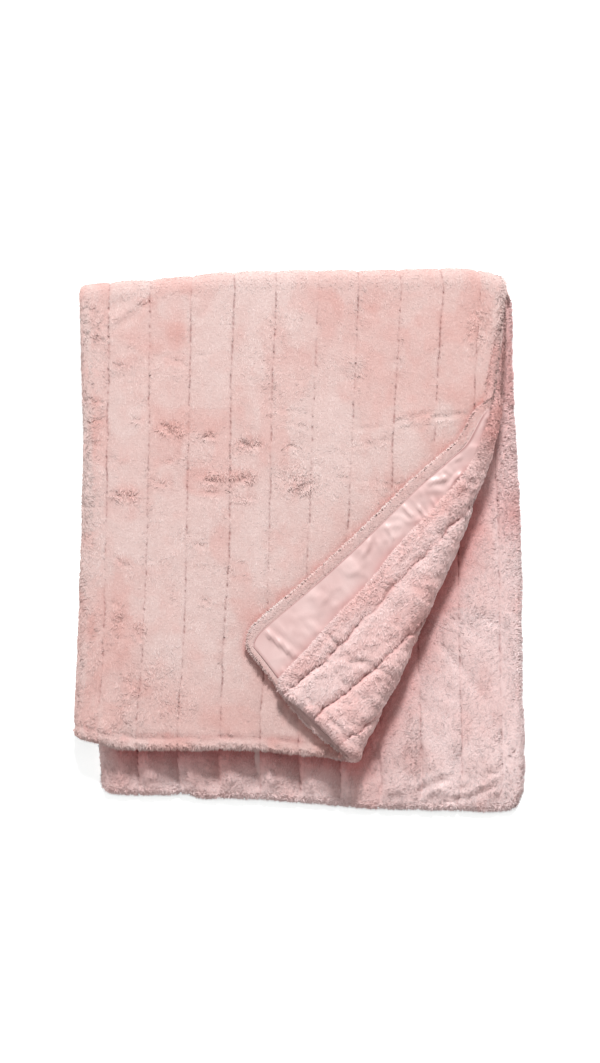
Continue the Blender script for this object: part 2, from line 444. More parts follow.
def fur_outer(lay, rough):
    c, x, y, v = lay.cc, lay.x, lay.y, lay.v
    part = lay.part[:, None]
    flat = np.where(part == 2, 1 - lay.m, 0.0)  # the face on the ground
    u = c * 60.0
    corner = np.where((part == 0) & (c > 12), smooth((lay.d + 12) / 24), 0.0)
    # seams: thin, broken grooves between soft shoulders
    lay.broken = 0.22 + 0.36 * lay.beat + 0.60 * N[1](u / 30, v / 4.6) + 0.34 * N[2](u / 60, v / 38)
    lay.broken = np.clip(lay.broken + corner * (0.05 + 0.5 * N[2](u / 60, v / 30)), 0.0, 1.15)
    groove = 2.3 * np.exp(-(lay.gap / (1.15 + 0.9 * corner)) ** 2) * lay.broken
    groove += (0.8 + 1.2 * corner * (0.4 + 0.9 * N[2](u / 60, v / 28))) * np.exp(-(lay.gap / (7.0 - 1.5 * corner)) ** 2)
    pillow = (0.9 + 0.8 * corner + 0.5 * (part == 2)) * (1 - crown(c)) ** 2
    uneven = 0.85 * N[3](u / 60, v / 75) + (0.30 + 0.75 * rough) * N[4](u / 19, v / 24) + (0.06 + 0.62 * rough) * N[5](u / 8.0, v / 8.5)
    off = FUR + 0.4 + 1.6 * corner + uneven - (groove + pillow)
    front_out = (part == 0) & (c < 11.3)
    off = off - np.where(front_out & (lay.d < -4), 0.85 * pressed(TUCKS, x, y), 0)
    off = off - np.where((part == 2) & (c > 12), 1.7 * pressed(BACK_RIPPLES, x, y), 0)
    place = lay.place(np.full_like(x, FUR))
    off = off - corner * 1.3 * pressed(CORNER_FOLDS, place[..., 0], place[..., 1])
    # fine slanting creases of the turned corner and of the back layer
    px, py = place[..., 0], place[..., 1]
    for slant, wide, long, many in ((0.5, 11.0, 46.0, 3), (-0.7, 9.0, 34.0, 8), (1.3, 13.0, 52.0, 10)):
        a, b = px * math.cos(slant) + py * math.sin(slant), py * math.cos(slant) - px * math.sin(slant)
        crease = (1 - np.abs(N[many](a / long, b / wide))) ** 7 * smooth((N[4](a / 60 + 7, b / 60) + 0.1) / 0.5)
        off = off - (1.5 * corner + 1.1 * ((part == 2) & (c > 12))) * crease
    off = off + corner * 1.7 * N[5](u / 9, v / 11) * np.exp(-((lay.d - 26) / 24) ** 2)
    off = np.clip(off, 2.6, FUR + 3.4)
    # where it lies face down it is pressed level
    off = off * (1 - flat) + FUR * flat
    # layers that lie on others keep inside their own height
    hidden = (part == 0) & (((c > 12) & (lay.d < -20)) | ((c < 11) & (lay.d > 10)))
    off = np.where(hidden, np.minimum(off, FUR), off)
    # the hem is a soft roll
    e = lay.edge
    full = np.minimum(off, FUR + 1.0)
    lump = 1 + (0.05 + 0.11 * rough) * N[6](u / 9, v / 9)
    roll = 1.5 + (full - 1.5 + 0.3) * np.sqrt(np.clip(1 - (1 - np.clip(e / 6.0, 0, 1)) ** 2, 0, 1)) * lump
    k = smooth((e - 5) / 8)
    # the turned-in cloth makes the lower hem a low lip with a soft trough above it
    ee, some = lay.end_edge, 0.75 + 0.5 * N[8](u / 40, v / 40)
    some = np.clip(some + 0.7 * N[9](u / 13, v / 40), 0, 1.6)
    bent = ee + np.where(part == 2, 0.0, 2.4 * N[7](u / 17, 4.5) + 1.8 * N[3](u / 7, 2.5))
    off = off - some * np.where(part == 2, 0.8, 2.1) * np.exp(-((bent - 16) / 4.2) ** 2) * (lay.side_edge > 10)
    off = off + (np.where(part == 2, 0.5, 0.9) * some + 1.2 * N[5](u / 9, v / 9)) * np.exp(-((ee - 8) / 6) ** 2)
    off = np.where(e < 14, roll * (1 - k) + off * k, off)
    return np.where(flat > 0.5, np.minimum(off, FUR), off)


def fur_inner(lay):
    e = lay.seam_edge
    low = -PLY_GAP / 2 - LINING
    tip = 1.5 + (low - 1.5) * np.sqrt(np.clip(1 - (1 - np.clip(e / 3.4, 0, 1)) ** 2, 0, 1))
    return np.where(e < ROLL + 0.2, tip, PLY_GAP / 2)


# ---------------------------------------------------------------- grids
def steps(a, b, size):
    n = max(1, int(round(abs(b - a) / size)))
    return list(np.linspace(a, b, n + 1))[:-1]


HEM = (0, 0.7, 1.8, 3.4, 5.5, 8.0)


def channel(c0, c1, width, size, near):
    """Columns over one channel: close beside both seams, even between them."""
    k = (c1 - c0) / width
    first = [c0 + k * q for q in near]
    last = [c1 - k * q for q in near[:0:-1]]
    return first[:-1] + steps(first[-1], last[0], size * k) + last


def columns(fine, mid, coarse):
    """Channel counts from the outer hem to the inner hem."""
    near, far = (0, 0.8, 1.9, 3.6), (0, 1.4, 3.4)
    w_out, w_in = 62.0, 34.0
    cs = [e / w_out for e in HEM + (10.5, 11.1)] + steps(14 / w_out, 1 - 3.6 / w_out, fine / w_out) + [1 - q / w_out for q in near[:0:-1]]
    for k in range(1, 10):
        cs += channel(k, k + 1, 61.0, fine, near)
    cs += [10 + q / 24 for q in near[:-1]] + steps(10 + 3.6 / 24, 11, fine / 24)
    cs += steps(11, 12, 1 / 12) + steps(12, 13 - 3.4 / 28, coarse / 28.0) + [13 - 3.4 / 28, 13 - 1.4 / 28]
    for k in range(13, 22):
        cs += channel(k, k + 1, 60.0, coarse if k < 18 else mid if k < 20 else fine, far if k < 19 else near)
    cs += [22 + q / w_in for q in near[:-1]] + steps(22 + 3.6 / w_in, 23 - 14 / w_in, fine / w_in)
    cs += [23 - e / w_in for e in (14, 11.1, 10.5) + HEM[::-1]]
    return np.array(cs)


END_STOPS = (0, 0.7, 1.8, 3.4, 5.0, 6.25, 6.75, 8.0, 11.0)


def rows_of(fine, top, back):
    out = [Row("front", frm=e) for e in END_STOPS]
    out += [Row("front", level=v) for v in steps(FRONT_END + 14, TOP_LEVEL - 4, fine)]
    out += [Row("top", turn=t) for t in np.linspace(0, 1, top)]
    lows = steps(TOP_LEVEL - 6, BACK_END + 74, back) + steps(BACK_END + 74, BACK_END + 14, fine)
    out += [Row("back", level=v) for v in lows]
    out += [Row("back", frm=e) for e in END_STOPS[::-1]]
    return out


def keep_every(n, step, ends):
    """Indices that keep the first and last few and every step-th between."""
    return np.array(sorted(set(range(ends)) | set(range(n - ends, n)) | set(range(ends, n - ends, step))))


def loops_of(n, m):
    """The boundary of an n by m grid as indices, once round."""
    top = [(0, j) for j in range(m - 1)]
    right = [(i, m - 1) for i in range(n - 1)]
    low = [(n - 1, j) for j in range(m - 1, 0, -1)]
    left = [(i, 0) for i in range(n - 1, 0, -1)]
    return top + right + low + left


def grid_faces(index, flip):
    a, b, c, d = index[:-1, :-1], index[1:, :-1], index[1:, 1:], index[:-1, 1:]
    quads = np.stack([a, b, c, d], -1).reshape(-1, 4)
    return quads[:, ::-1] if flip else quads


def make_mesh(name, verts, quads, tris, normals=None, values=None):
    """verts in mm; quads and tris as index arrays; values are numbers kept on the points."""
    me = bpy.data.meshes.new(name)
    nq, nt = len(quads), len(tris)
    me.vertices.add(len(verts))
    me.vertices.foreach_set("co", (np.asarray(verts, np.float64) / 1000).astype(np.float32).ravel())
    loops = np.concatenate([np.asarray(quads).ravel(), np.asarray(tris).ravel()]).astype(np.int32)
    me.loops.add(len(loops))
    me.loops.foreach_set("vertex_index", loops)
    me.polygons.add(nq + nt)
    starts = np.concatenate([np.arange(nq) * 4, nq * 4 + np.arange(nt) * 3]).astype(np.int32)
    me.polygons.foreach_set("loop_start", starts)
    me.polygons.foreach_set("use_smooth", np.full(nq + nt, True))
    me.update(calc_edges=True)
    me.validate()
    if normals is not None:
        me.normals_split_custom_set_from_vertices(normals.astype(np.float32))
    for key, val in (values or {}).items():
        attr = me.attributes.new(key, "FLOAT", "POINT")
        attr.data.foreach_set("value", np.asarray(val, np.float32))
    ob = bpy.data.objects.new(name, me)
    bpy.context.scene.collection.objects.link(ob)
    return ob


def closed_sheet(name, outer, inner, keep_r, keep_c, fine_is_outer=True, values=None):
    """A closed sheet: one fine face, one coarse face, joined round the edge."""
    n, m = outer.shape[:2]
    fine, coarse = (outer, inner) if fine_is_outer else (inner, outer)
    fi = np.arange(n * m).reshape(n, m)
    sub = coarse[np.ix_(keep_r, keep_c)]
    ci = n * m + np.arange(len(keep_r) * len(keep_c)).reshape(len(keep_r), len(keep_c))
    verts = np.concatenate([fine.reshape(-1, 3), sub.reshape(-1, 3)])
    quads = np.concatenate([grid_faces(fi, not fine_is_outer), grid_faces(ci, fine_is_outer)])
    tris = []
    pos_r, pos_c = {int(r): k for k, r in enumerate(keep_r)}, {int(c): k for k, c in enumerate(keep_c)}
    loop = loops_of(n, m)
    kept = [k for k, (i, j) in enumerate(loop) if i in pos_r and j in pos_c]
    for a, b in zip(kept, kept[1:] + [kept[0] + len(loop)]):
        ia, ib = loop[a], loop[b % len(loop)]
        qa, qb = ci[pos_r[ia[0]], pos_c[ia[1]]], ci[pos_r[ib[0]], pos_c[ib[1]]]
        ring = [fi[loop[k % len(loop)]] for k in range(a, b + 1)]
        for k in range(len(ring) - 1):
            t = (ring[k], ring[k + 1], qa)
            tris.append(t if fine_is_outer else t[::-1])
        t = (ring[-1], qb, qa)
        tris.append(t if fine_is_outer else t[::-1])
    vals = {key: np.concatenate([v.ravel(), v[np.ix_(keep_r, keep_c)].ravel()]) for key, v in (values or {}).items()}
    return make_mesh(name, verts, quads, np.array(tris), values=vals)


def grid_normals(p):
    du = np.gradient(p, axis=1)
    dv = np.gradient(p, axis=0)
    nrm = np.cross(dv, du)
    return nrm / np.maximum(np.linalg.norm(nrm, axis=-1, keepdims=True), 1e-9)


# ---------------------------------------------------------------- the fur face
k_fine = 1.0
fur_c = columns(5.4 * k_fine, 7.0 * k_fine, 10.5)
fur_rows = rows_of(4.3 * k_fine, 13, 8.0 * k_fine)
lay = Lay(fur_rows, fur_c)
rough = coarseness(lay, lay.x, lay.y)
fur_top = lay.place(fur_outer(lay, rough))
fur_low = lay.place(fur_inner(lay))
fur_top[..., 2] = np.maximum(fur_top[..., 2], 0.05)
fur_low[..., 2] = np.maximum(fur_low[..., 2], 0.3)
X_, Y_ = fur_top[..., 0], fur_top[..., 1]
C_, P_ = lay.cc, lay.part[:, None] + 0 * lay.cc
is_out, is_in, is_fold = C_ < 11, C_ > 12, (C_ >= 11) & (C_ <= 12)


def inside(poly, x, y):
    """Even-odd test of points against a closed outline."""
    hit = np.zeros(x.shape, bool)
    px, py = poly[:, 0], poly[:, 1]
    for i in range(len(poly)):
        x0, y0, x1, y1 = px[i - 1], py[i - 1], px[i], py[i]
        if y0 == y1:
            continue
        cross = (y0 > y) != (y1 > y)
        hit ^= cross & (x < (x1 - x0) * (y - y0) / (y1 - y0) + x0)
    return hit


def shrink(poly, by):
    """Moves an outline inwards by a few mm."""
    a, b = np.roll(poly, 1, 0), np.roll(poly, -1, 0)
    t = b - a
    t /= np.maximum(np.linalg.norm(t, axis=1, keepdims=True), 1e-9)
    area = 0.5 * np.sum(poly[:, 0] * np.roll(poly[:, 1], -1) - poly[:, 1] * np.roll(poly[:, 0], -1))
    n = np.stack([-t[:, 1], t[:, 0]], 1) * (1 if area > 0 else -1)
    return poly + n * by


n_front = sum(r.part == "front" for r in fur_rows)
turn_d = lay.d[:n_front]
# the outline of the turned outer half: its hem, its lower hem, and the turn line
hem_line = [fur_top[i, 0, :2] for i in range(n_front) if turn_d[i, 0] > 20]
low_line = [fur_top[0, j, :2] for j in range(len(fur_c)) if fur_c[j] < 11 and turn_d[0, j] > 20]
turn_back = [np.array([along(TURN_LINE, y), y]) for y in np.linspace(fur_top[0, 0, 1] - 130, 190, 30)]
flap = np.array(hem_line[::-1] + low_line + turn_back)
# the outline of the whole front, as seen from above
front_outline = np.array([[along(LEFT_FRONT, y), y] for y in np.linspace(-300, 370, 40)]
                         + [[x, along(TOP_EDGE, x)] for x in np.linspace(-320, 300, 30)]
                         + [[along(TURN_LINE, y) + 21, y] for y in np.linspace(360, -330, 40)]
                         + [[x, along(END_OUT_FRONT, x)] for x in np.linspace(60, -325, 30)])
under_flap = inside(shrink(flap, 14), X_, Y_)
under_front = inside(shrink(front_outline, 24), X_, Y_)


def to_line(points, x, y):
    """Distance to the nearest of a line's points."""
    best = np.full(x.shape, 1e9)
    for px, py in points:
        best = np.minimum(best, (x - px) ** 2 + (y - py) ** 2)
    return np.sqrt(best)


# nap tone: 0 deep pink where the pile leans away, 1 pale where it lies smooth
u_, v_ = C_ * 60.0, lay.v
k_ = np.floor(C_)
front_out = (P_ == 0) & is_out
tone = 0.62 + 0.12 * N[3](u_ / 70 + 9, v_ / 150) + 0.09 * N[5](k_ * 5.1, v_ / 130)
tone -= 0.15 * smooth((N[6](u_ / 36, v_ / 44) - 0.10) / 0.22) + 0.09 * smooth((N[8](u_ / 17, v_ / 19) - 0.20) / 0.25)
tone += 0.06 * N[9](u_ / 6, v_ / 9)
tone -= np.where(front_out, 0.26 * ruffled(RUFFLES, X_, Y_), 0)
# hand-placed patches of the front layer: x, y, half width, half height, how much deeper
for px_, py_, rx_, ry_, deep_ in ((-181, 305, 15, 24, 0.30), (-92, 298, 16, 22, 0.28), (-121, 380, 20, 14, 0.40),
                                  (-92, 205, 20, 26, 0.25), (-125, 170, 22, 12, 0.25), (-48, 360, 24, 26, -0.10),
                                  (-214, 330, 18, 50, -0.22), (-160, 345, 14, 30, -0.20), (-40, -60, 26, 90, -0.12),
                                  (-160, -250, 80, 50, 0.16), (-300, 0, 26, 330, 0.14), (-262, -200, 24, 90, 0.14),
                                  (200, 140, 26, 26, 0.30), (176, 300, 30, 64, -0.22), (60, 250, 26, 60, -0.10), (120, 300, 24, 60, 0.05),
                                  (-60, 20, 24, 60, -0.12), (-119, -20, 24, 70, -0.06), (286, 250, 12, 120, 0.10)):
    tone -= np.where(front_out, 0.65 * deep_ * np.exp(-(((X_ - px_) / rx_) ** 2 + ((Y_ - py_) / ry_) ** 2) ** 1.6), 0)
near_flap = to_line(hem_line[::2] + low_line[::3], X_, Y_)
tone -= np.where(front_out & (lay.d < 0), 0.50 * np.exp(-near_flap / 16) * (0.6 + 0.4 * N[2](u_ / 25, v_ / 25)), 0)
tone = np.where(P_ == 2, tone + 0.12, tone)
tone = np.clip(tone - 0.10 * np.exp(-(lay.edge / 10) ** 2), 0, 1)
rim = [front_outline[k - 1] * (1 - t) + front_outline[k] * t for k in range(1, len(front_outline)) for t in (0, 0.25, 0.5, 0.75)]
beside = to_line(rim, X_, Y_)
deep = np.where((P_ == 2) & is_in, np.exp(-(beside / 30) ** 2), 0.0)  # the pile packed beside the front layers
deep = np.maximum(deep, np.where((P_ == 2) & is_in, 0.40 * smooth((X_ - 290) / 12) * smooth((Y_ + 30) / 60), 0))
deep = np.maximum(deep, np.where((P_ == 0) & is_in & (lay.d > 0), 0.22 * np.exp(-(lay.gap / 3) ** 2), 0))
deep = np.where(P_ == 2, deep * (1 - 0.60 * smooth((Y_ - 40) / 60)), deep)
deep = np.maximum(deep, np.where(front_out & (lay.d < 0), 0.6 * np.exp(-(near_flap / 8) ** 2), 0))
lift_ = np.exp(-(lay.edge / 9) ** 2) * np.where(P_ == 0, np.where(lay.d > 6, np.where(is_out, 0.6, 0.8), 0.35), 0.6)
turn_top = (P_ == 0) & is_out & (lay.d > -4) & (lay.d < 50) & (Y_ > 60)
lift_ = np.maximum(lift_, np.where(turn_top, 0.45 * smooth((lay.d + 4) / 12), 0))
deep = np.maximum(deep, np.where(turn_top, 0.25 * smooth((lay.d + 4) / 12), 0))
side_top = (P_ == 0) & is_in & (lay.d > -10) & (Y_ > 100)
deep = np.maximum(deep, np.where(side_top, 0.40 * smooth((Y_ - 100) / 60), 0))
deep = np.maximum(deep, np.where(front_out & (lay.d < 0), (0.24 + 0.3 * N[9](u_ / 13, 1.5)) * np.exp(-((lay.end_edge - 17 - 3 * N[7](u_ / 17, 4.5)) / 5) ** 2), 0))
lift_ = np.maximum(lift_, np.where(side_top, 0.9 * smooth((Y_ - 100) / 60), 0))
lift_ = np.maximum(lift_, np.where((P_ == 2) & is_in, 0.75 * smooth((-250 - Y_) / 70) * smooth((X_ - 140) / 80), 0))
lift_ = np.maximum(lift_, np.where((P_ == 0) & is_in & (lay.d > 6), 0.55 * smooth((100 - lay.end_edge) / 80), 0))
seam_mark = np.exp(-(lay.gap / 1.2) ** 2) * np.clip(lay.broken, 0, 1) * (lay.edge > 5)
tone = np.where((P_ == 0) & is_in, tone - 0.10, tone)
cool = np.where(P_ == 2, 1.0, np.where((P_ == 0) & is_in, 0.9 - 0.6 * smooth((Y_ - 90) / 60), np.where((P_ == 0) & (lay.d > 6), 0.15, 0.0)))
fur = closed_sheet("Fur_Face", fur_top, fur_low, keep_every(len(fur_rows), 5, 9), keep_every(len(fur_c), 5, 8),
                   values=dict(tone=tone, seam=seam_mark, cool=cool, deep=deep, lift=lift_))

n_top = fur_top.shape[0] * fur_top.shape[1]
for key_, val_ in (("lift", 0.25), ("deep", 0.16), ("cool", 0.0), ("tone", 0.66)):
    held = np.empty(len(fur.data.vertices), np.float32)
    fur.data.attributes[key_].data.foreach_get("value", held)
    held[n_top:] = val_
    fur.data.attributes[key_].data.foreach_set("value", held)

# light passes through the pile at the hems, so they are shaded softer than they are bent
glow = np.exp(-(lay.edge / 13) ** 2)
glow = np.maximum(glow, np.where(P_ == 1, 1.0, np.where(P_ == 0, np.exp(-((along(TOP_EDGE, X_) - Y_) / 22) ** 2), 0)))
glow = np.maximum(glow, np.where((P_ == 0) & is_out & (lay.d > 0) & (lay.d < 40), np.where(Y_ > 60, 1.2, 0.5), 0))
glow = np.maximum(glow, np.where((P_ == 0) & (C_ > 10.4) & (C_ < 11.9), 0.8 * smooth((C_ - 10.4) / 0.4), 0))
glow = np.maximum(glow, np.where(side_top, 1.1 * smooth((Y_ - 100) / 60), 0))
me_ = fur.data
soft_n = np.empty(len(me_.vertices) * 3, np.float32)
me_.vertex_normals.foreach_get("vector", soft_n)
soft_n = soft_n.reshape(-1, 3)
keep_ = np.ix_(keep_every(len(fur_rows), 5, 9), keep_every(len(fur_c), 5, 8))
edge_all = np.concatenate([glow.ravel(), glow[keep_].ravel()])
GLOW = 1.1
soft_n[:, 2] += GLOW * edge_all * smooth((soft_n[:, 2] + 0.5) / 0.5)
soft_n /= np.maximum(np.linalg.norm(soft_n, axis=1, keepdims=True), 1e-6)
me_.normals_split_custom_set_from_vertices(soft_n)

# ---------------------------------------------------------------- the satin lining
# soft pulls and pleats of the satin on the turned corner, at their place in plan: x0, y0, x1, y1, height, width
PULLS = np.array([
    (-52, -132, -6, -172, 2.6, 3.0), (-44, -126, 2, -166, -1.2, 3.5), (220, 74, 238, 99, 2.2, 3.2),
    (228, 72, 246, 96, -1.4, 3.0), (188, 84, 220, 92, 1.5, 4.0), (149, 55, 169, 33, 1.6, 3.0), (156, 60, 176, 38, -1.0, 3.0),
    (176, 50, 188, 30, 2.2, 2.4), (105, 6, 95, -27, 1.3, 4.0), (53, -33, 77, -55, 0.9, 5.0), (28, -82, 56, -100, 0.8, 6.0),
    (240, 124, 214, 112, 1.2, 3.5), (128, 20, 140, 0, 1.0, 3.0), (196, 62, 206, 44, 1.4, 3.0), (10, -120, 30, -138, 0.7, 5.0),
    (-28, -190, -12, -204, 1.0, 2.4), (60, -18, 84, -52, 1.1, 6.0), (8, -66, 34, -104, 0.9, 7.0), (40, -100, 62, -76, -0.8, 6.0),
])


def lining_c(step):
    w_out, w_in, e = 62.0, 34.0, 11.3
    return np.array([e / w_out, (e + 0.9) / w_out, (e + 1.7) / w_out] + steps((e + 2.6) / w_out, 1, step / w_out) + steps(1, 4.6, step / 61.0) + steps(4.6, 11, step * 4 / 61.0)
                    + steps(11, 12, 1 / 8) + steps(12, 22, step * 4 / 60.0) + steps(22, 23 - e / w_in, step * 2 / 60.0) + [23 - e / w_in])


def lining_rows(step):
    e = 7.2
    return ([Row("front", frm=e), Row("front", frm=e + 1)] + [Row("front", level=v) for v in steps(FRONT_END + 12, 200, step)]
            + [Row("front", level=v) for v in steps(200, TOP_LEVEL - 4, step * 2.5)] + [Row("top", turn=t) for t in np.linspace(0, 1, 9)]
            + [Row("back", level=v) for v in steps(TOP_LEVEL - 8, BACK_END + 60, step * 4)]
            + [Row("back", level=v) for v in steps(BACK_END + 60, BACK_END + 16, step * 1.5)] + [Row("back", frm=e)])


satin_lay = Lay(lining_rows(3.2 * k_fine), lining_c(3.0 * k_fine))
base = satin_lay.place(np.full_like(satin_lay.x, -PLY_GAP / 2 - LINING))
turned = (satin_lay.part[:, None] == 0) & (satin_lay.cc < 11) & (satin_lay.d > 10)
us_, vs_ = satin_lay.cc * 60, satin_lay.v
pull = pressed(PULLS, base[..., 0], base[..., 1]) + 0.30 * N[8](us_ / 17, vs_ / 26) + 0.10 * N[9](us_ / 7, vs_ / 12)
for slant_, wide_, long_, many_ in ((-0.9, 12.0, 50.0, 3), (0.2, 16.0, 60.0, 8), (-1.5, 9.0, 30.0, 10)):
    a_ = base[..., 0] * math.cos(slant_) + base[..., 1] * math.sin(slant_)
    b_ = base[..., 1] * math.cos(slant_) - base[..., 0] * math.sin(slant_)
    pull = pull + (0.45 + 0.55 * smooth((base[..., 1] + 60) / 90)) * (1 - np.abs(N[many_](a_ / long_, b_ / wide_))) ** 6 * smooth((N[4](a_ / 55 + 3, b_ / 55) + 0.15) / 0.5)
pull = np.maximum(pull, -0.2) * smooth((satin_lay.seam_edge - 12) / 8)
lift = np.clip(np.where(turned, 2.1 * pull, 0), -0.2, 4.2)
satin_air = satin_lay.place(-PLY_GAP / 2 - LINING - lift)
satin_air[..., 2] = np.maximum(satin_air[..., 2], 0.5)
satin_back = satin_lay.place(np.full_like(satin_lay.x, -PLY_GAP / 2))
upper_hem = [fur_top[i, -1, :2] for i in range(n_front) if turn_d[i, -1] > 10]
beside_fur = np.exp(-(to_line(upper_hem, satin_air[..., 0], satin_air[..., 1]) / 11) ** 2) * (0.7 + 0.5 * N[2](us_ / 14, vs_ / 22)) * turned
beside_seam = np.exp(-((satin_lay.seam_edge - 12.8) / 0.9) ** 2) * turned
satin = closed_sheet("Satin_Lining", satin_back, satin_air, keep_every(len(satin_lay.rows), 4, 2),
                     keep_every(len(satin_lay.c), 4, 2), fine_is_outer=False,
                     values=dict(deep=np.clip(beside_fur, 0, 1), seam=beside_seam))

# =====================================================================================================================
# Pile: thin closed tufts, rooted in the fur face
# =====================================================================================================================
fur_normals = grid_normals(fur_top)
fur_down = -np.gradient(fur_top, axis=0)


def outward(p):
    """The direction over the cloth towards its nearest hem."""
    ei, ej = np.gradient(lay.edge, axis=0), np.gradient(lay.edge, axis=1)
    pi_, pj = np.gradient(p, axis=0), np.gradient(p, axis=1)
    g = ei[..., None] * pi_ / np.maximum(np.sum(pi_ * pi_, -1, keepdims=True), 0.01)
    g = g + ej[..., None] * pj / np.maximum(np.sum(pj * pj, -1, keepdims=True), 0.01)
    return -g / np.maximum(np.linalg.norm(g, axis=-1, keepdims=True), 1e-6)


def tufts(name, count, weight, seed, p=None, length=1.0):
    """Thin closed tufts over the cells of the fur face, as many in each cell as its area times weight asks for."""
    r = np.random.default_rng(seed)
    side_of = 1.0 if p is None else -1.0
    p = fur_top if p is None else p
    du, dv = p[:-1, 1:] - p[:-1, :-1], p[1:, :-1] - p[:-1, :-1]
    area = np.linalg.norm(np.cross(du, dv), axis=-1) * np.minimum(np.minimum(weight[:-1, :-1], weight[1:, 1:]),
                                                                  np.minimum(weight[:-1, 1:], weight[1:, :-1]))
    flat = area.ravel()
    cell = r.choice(len(flat), size=count, p=flat / flat.sum())
    i, j = np.divmod(cell, p.shape[1] - 1)
    a, b = r.random(count), r.random(count)

    def at(g):
        a_, b_ = (a[:, None], b[:, None]) if g.ndim == 3 else (a, b)
        return (g[i, j] * (1 - a_) + g[i + 1, j] * a_) * (1 - b_) + (g[i, j + 1] * (1 - a_) + g[i + 1, j + 1] * a_) * b_

    def unit(q):
        return q / np.maximum(np.linalg.norm(q, axis=1, keepdims=True), 1e-6)
    root, nrm = at(p), unit(at(fur_normals if side_of > 0 else -grid_normals(p)))
    gap, ru = at(lay.gap), at(rough) if side_of > 0 else np.full(count, 0.2)
    down = at(fur_down)
    down = unit(down - nrm * np.sum(down * nrm, 1, keepdims=True))
    cross = np.cross(nrm, down)
    uu, vv, ee = at(C_) * 60, at(lay.v), at(lay.edge)
    # the nap wanders slowly, and its tufts gather in locks
    wander = (0.5 + 0.4 * ru) * N[10](uu / 45, vv / 60) + (0.25 + 0.7 * ru) * N[11](uu / 12, vv / 12)
    wander += (0.35 + 0.25 * ru + 0.7 * np.exp(-(ee / 11) ** 2)) * r.standard_normal(count)
    face = down * np.cos(wander)[:, None] + cross * np.sin(wander)[:, None]
    # at the hems they fall outwards over the edge
    fall = (0.95 * np.exp(-(ee / 7.0) ** 2) * (0.5 + r.random(count)))[:, None]
    hem_way = at(outward(p))
    face = face * (1 - 0.75 * np.minimum(fall, 1)) + hem_way * fall
    face = unit(face - nrm * np.sum(face * nrm, 1, keepdims=True))
    lock = N[9](uu / 6.5, vv / 6.5)
    up = (0.13 + 0.20 * ru) * (0.6 + 0.8 * r.random(count)) + 0.16 * ru * lock + (0.34 if side_of > 0 else 0.06) * np.exp(-(ee / 7) ** 2)
    in_seam = np.exp(-(gap / 1.8) ** 2)
    up = up * (1 - 0.7 * in_seam)
    direction = face * np.cos(up)[:, None] + nrm * np.sin(up)[:, None]
    size = length * (4.8 + 1.5 * ru) * (0.65 + 0.7 * r.random(count)) * (1 - 0.35 * in_seam) * (1 + 0.05 * np.exp(-(ee / 8) ** 2))
    wide = (1.9 + 0.3 * ru) * (0.7 + 0.6 * r.random(count))
    root = root - nrm * (0.35 + 0.5 * r.random(count))[:, None]
    side = unit(np.cross(direction, nrm))
    thick = np.cross(side, direction)
    w = wide[:, None] / 2
    v0, v1 = root - side * w, root + side * w
    v2 = root + thick * w * 0.7 + direction * (size * 0.45)[:, None]
    v3 = root + direction * size[:, None] - nrm * (0.08 * size)[:, None]
    verts = np.stack([v0, v1, v2, v3], 1).reshape(-1, 3)
    verts[:, 2] = np.maximum(verts[:, 2], 0.15)  # nothing goes below the ground
    k = np.arange(count)[:, None] * 4
    tris = np.concatenate([k + np.array([[0, 1, 2]]), k + np.array([[0, 3, 1]]), k + np.array([[1, 3, 2]]), k + np.array([[2, 3, 0]])])
    # shaded much as the cloth below them, a little as themselves
    lean = (0.5 * np.sin(up))[:, None]
    shade = nrm * (1 - 0.3 * lean) - face * lean + (0.04 + 0.12 * ru)[:, None] * r.standard_normal((count, 3))
    shade += (0.22 if side_of > 0 else 0.05) * np.exp(-(ee / 9) ** 2)[:, None] * r.standard_normal((count, 3))
    shade[:, 2] += GLOW * at(glow) * np.where(nrm[:, 2] < 0, 1.0 + 1.2 * np.minimum(1, -2 * nrm[:, 2]), 1.0)
    s_ = 0.24 + 0.22 * ru[:, None]
    normals = unit(np.stack([shade - side * s_, shade + side * s_, shade - face * 0.10, shade + face * 0.10], 1).reshape(-1, 3))
    tint = np.clip(0.55 + (0.08 + 0.10 * ru) * r.standard_normal(count) + 0.25 * ru * lock, 0, 1)
    return make_mesh(name, verts, np.zeros((0, 4), int), tris, normals, dict(
        tip=np.tile((0.0, 0.0, 0.45, 1.0), count), tone=np.repeat(at(tone), 4), seam=np.repeat(at(seam_mark), 4),
        cool=np.repeat(at(cool) if side_of > 0 else 0 * ee, 4), deep=np.repeat(at(deep) if side_of > 0 else 0 * ee + 0.18, 4),
        lift=np.repeat(at(lift_) if side_of > 0 else 0 * ee + 0.6, 4), lock=np.repeat(tint, 4)))


flipped = (P_ == 0) & (lay.d > np.where(Y_ > 60, 48, 6))
near_hem = lay.edge < 13
w_front = ((P_ == 0) & is_out & ~flipped & ~under_flap) | ((P_ == 0) & is_fold) | ((P_ == 1) & (is_out | is_fold))
w_front |= (P_ == 0) & near_hem & ~flipped
w_corner = (P_ == 0) & is_in & (lay.d > -14) | ((P_ == 0) & is_out & (lay.d > 6) & near_hem)
w_back = ((P_ == 2) & is_in & ~under_front) | ((P_ == 2) & near_hem) | ((P_ == 2) & is_fold)
w_back |= (P_ == 1) & is_in & near_hem
k_t = 1.0
density = (1 + 1.5 * np.exp(-(lay.edge / 9) ** 2)) * (1 - 0.90 * np.exp(-(lay.gap / 1.3) ** 2) * np.clip(lay.broken, 0, 1)) * (1 + 0.25 * rough)
pile = []
w_rim = (P_ == 0) & is_out & (lay.d > 8) & (lay.seam_edge < 10.0)
pile.append(tufts("Pile_Rim", int(6500 * k_t), w_rim * 1.0, 15, fur_low, 0.8))
